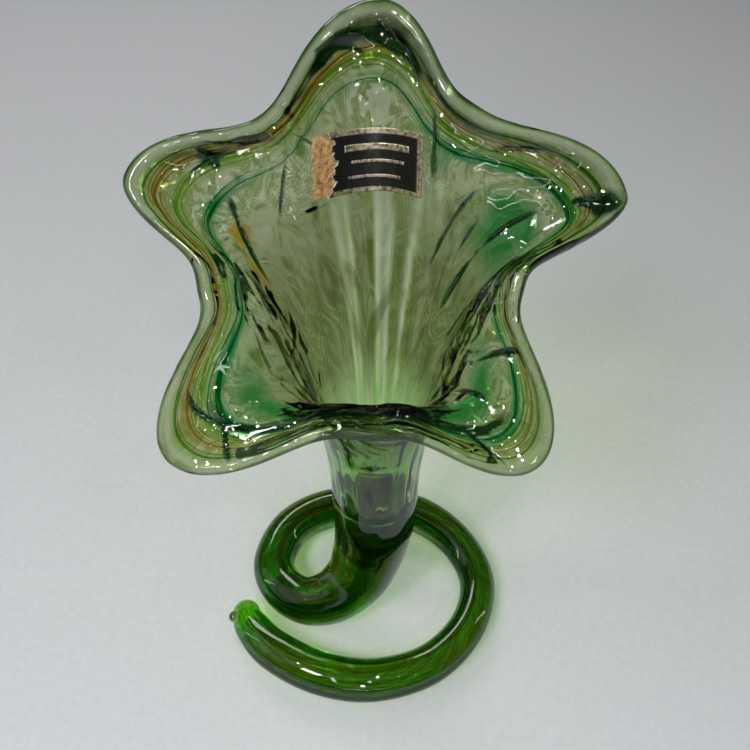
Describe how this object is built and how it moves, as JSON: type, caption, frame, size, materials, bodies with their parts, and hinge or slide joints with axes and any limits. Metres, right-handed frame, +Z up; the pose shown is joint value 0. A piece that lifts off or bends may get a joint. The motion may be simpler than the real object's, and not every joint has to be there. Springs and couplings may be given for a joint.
{
  "type": "coiled-foot bud vase",
  "caption": "Blown glass bud vase with a tilted five-lobed star mouth, a hollow neck and a solid tail coiled into its foot.",
  "frame": {"origin": "on the table, on the axis of the neck, midway across the foot and the mouth", "axes": "+Z up; -Y the way the mouth faces; +X to the right of someone looking into the mouth"},
  "size_m": [0.142, 0.1001, 0.2371],
  "materials": {
    "clear_glass": "gloss",
    "leaf_green_glass": "gloss",
    "pale_green_glass": "gloss",
    "teal_glass": "gloss",
    "amber_glass": "gloss",
    "olive_glass": "gloss",
    "label_foil": "satin",
    "label_print": "gloss",
    "label_paper": "matte"
  },
  "bodies": {
    "root": {"rim_lip": "clear_glass", "bowl_wall": "clear_glass", "neck": "clear_glass", "trail_green_outer": "leaf_green_glass", "trail_amber": "amber_glass", "trail_green_inner": "pale_green_glass", "trail_teal": "teal_glass", "neck_canes": "pale_green_glass", "stem_core": "olive_glass", "base_coil": "olive_glass", "strand_bright_green": "leaf_green_glass", "strand_amber": "amber_glass", "strand_dark_green": "teal_glass", "tail_tip": "leaf_green_glass", "shear_nub": "olive_glass", "label_foil": "label_foil", "label_print": "label_print", "label_rules": "label_foil", "label_torn_paper": "label_paper"}
  },
  "joints": []
}
